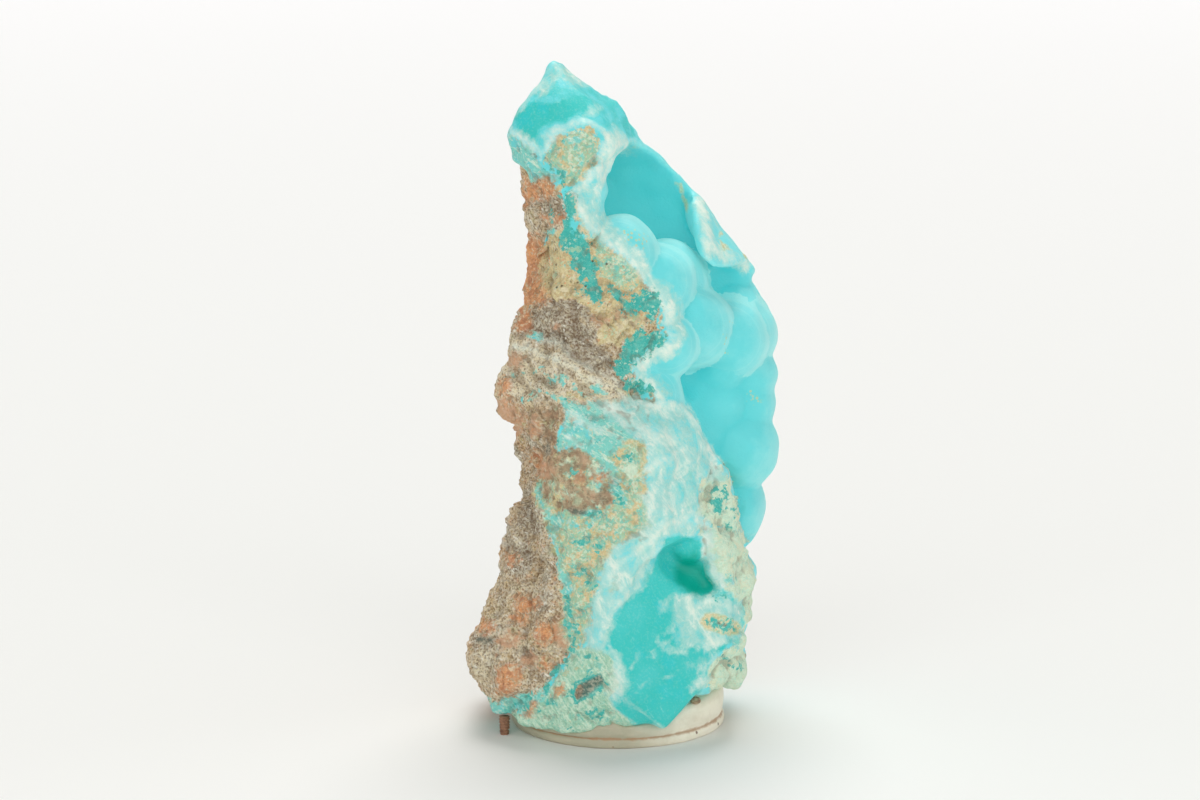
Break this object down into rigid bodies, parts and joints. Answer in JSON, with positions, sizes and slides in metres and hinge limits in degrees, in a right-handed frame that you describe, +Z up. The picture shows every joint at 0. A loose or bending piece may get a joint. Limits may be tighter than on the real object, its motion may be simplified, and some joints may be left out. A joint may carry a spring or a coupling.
{
  "type": "mineral specimen",
  "caption": "Upright hemimorphite specimen: turquoise botryoidal crust on brown matrix, with a broken blue wedge face, in a round pad of cream putty, with a ribbed peg under a corner.",
  "frame": {"origin": "The centre of the putty pad's flat underside, on the surface that the specimen stands on.", "axes": "+Z is up, along the standing stone. -Y is the broken front edge with the wedge, and +X is the side that the crust covers."},
  "size_m": [0.0501, 0.0438, 0.1069],
  "materials": {
    "stone": "translucent turquoise crust with a soft waxy sheen, on dry brown and grey rock",
    "putty": "soft matt cream putty with brown specks",
    "peg": "matt brown",
    "grit": "rough beige grit"
  },
  "bodies": {
    "root": {"hemimorphite": "stone", "putty_base": "putty", "prop_peg": "peg", "grit_pebble": "grit"}
  },
  "joints": []
}
